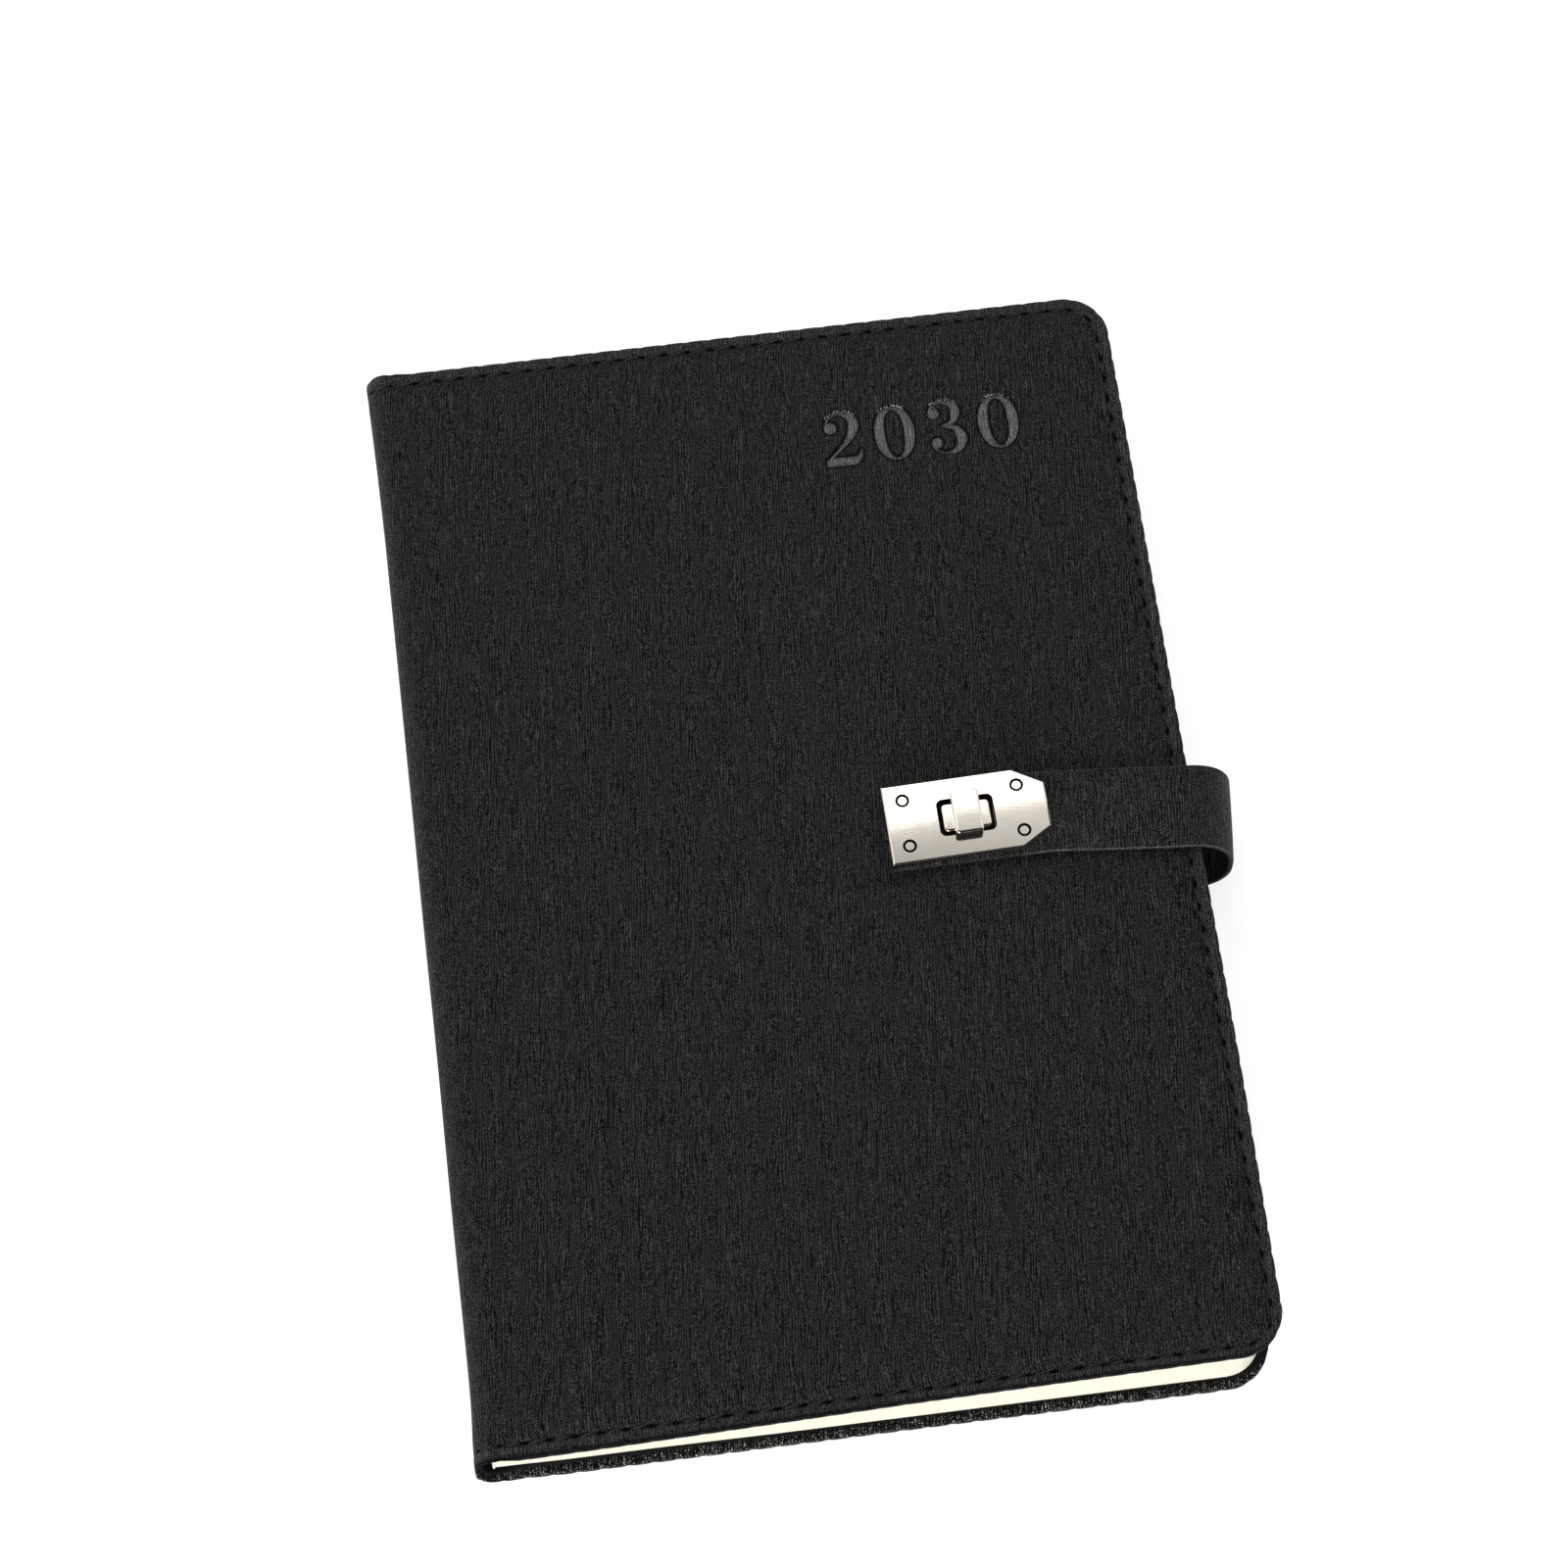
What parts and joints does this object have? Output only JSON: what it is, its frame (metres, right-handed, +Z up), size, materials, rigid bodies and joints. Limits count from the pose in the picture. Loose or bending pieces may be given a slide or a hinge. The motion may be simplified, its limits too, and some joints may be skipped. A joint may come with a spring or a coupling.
{
  "type": "diary with lock",
  "caption": "Soft-cover diary with a padded, stitched black case, a block of cream leaves, and a strap round the fore edge that ends in a slotted metal plate over a turning bar.",
  "frame": {"origin": "middle of the box under the closed diary, on the surface that it lies on", "axes": "+X from the spine to the fore edge, +Y from the tail to the head, +Z up out of the front cover"},
  "size_m": [0.1506, 0.213, 0.024],
  "materials": {
    "skin": "black, fine lengthwise grain, semi-matte",
    "lining": "black, smooth, matte",
    "strap": "black, fine lengthwise grain, semi-matte",
    "padding": "thin felt",
    "board": "grey board",
    "paper": "uncoated cream",
    "cloth": "glued gauze",
    "nickel": "polished warm nickel",
    "steel": "plain steel"
  },
  "bodies": {
    "back_cover": {"back_skin": "skin", "back_padding": "padding", "back_board": "board", "back_lining": "lining", "strap_tail": "strap", "rear_flyleaf": "paper", "rear_signature_1": "paper", "rear_signature_2": "paper", "rear_signature_3": "paper", "rear_signature_4": "paper", "rear_spine_cloth": "cloth"},
    "spine": {"spine_skin": "skin", "spine_lining": "lining"},
    "front_cover": {"front_skin": "skin", "front_padding": "padding", "front_board": "board", "front_lining": "lining", "knob_base": "nickel", "knob_washer": "steel"},
    "front_leaves": {"front_flyleaf": "paper", "front_signature_1": "paper", "front_signature_2": "paper", "front_signature_3": "paper", "front_signature_4": "paper", "front_spine_cloth": "cloth"},
    "knob": {"knob_bar": "nickel", "knob_clip": "steel"},
    "strap_loop": {"strap_loop": "strap"},
    "strap_tongue": {"strap_tongue": "strap", "lock_plate": "nickel", "lock_backplate": "steel", "lock_rivets": "steel"}
  },
  "joints": [
    {"name": "spine_fold", "type": "hinge", "parent": "back_cover", "child": "spine", "pos_m": [-0.07384, 0, 0.00146], "axis": [0, -1, 0], "range_deg": [0, 89]},
    {"name": "cover_open", "type": "hinge", "parent": "spine", "child": "front_cover", "pos_m": [-0.07384, 0, 0.01294], "axis": [0, -1, 0], "range_deg": [0, 89]},
    {"name": "leaves_turn", "type": "hinge", "parent": "back_cover", "child": "front_leaves", "pos_m": [-0.0727, 0, 0.00718], "axis": [0, -1, 0], "range_deg": [0, 177]},
    {"name": "knob_turn", "type": "hinge", "parent": "front_cover", "child": "knob", "pos_m": [0.0252, -0.00035, 0.01769], "axis": [-0.0332, 0, 0.9995], "range_deg": [0, 90]},
    {"name": "strap_bend", "type": "hinge", "parent": "back_cover", "child": "strap_loop", "pos_m": [0.07322, 0, 0.00338], "axis": [0, 1, 0], "range_deg": [0, 85]},
    {"name": "strap_open", "type": "hinge", "parent": "strap_loop", "child": "strap_tongue", "pos_m": [0.07228, 0, 0.01768], "axis": [0, 1, 0], "range_deg": [0, 85]}
  ],
  "couplings": [
    {"joint": "spine_fold", "follows": "cover_open", "ratio": 1},
    {"joint": "leaves_turn", "follows": "cover_open", "ratio": 1.9888},
    {"joint": "strap_bend", "follows": "strap_open", "ratio": 1}
  ]
}
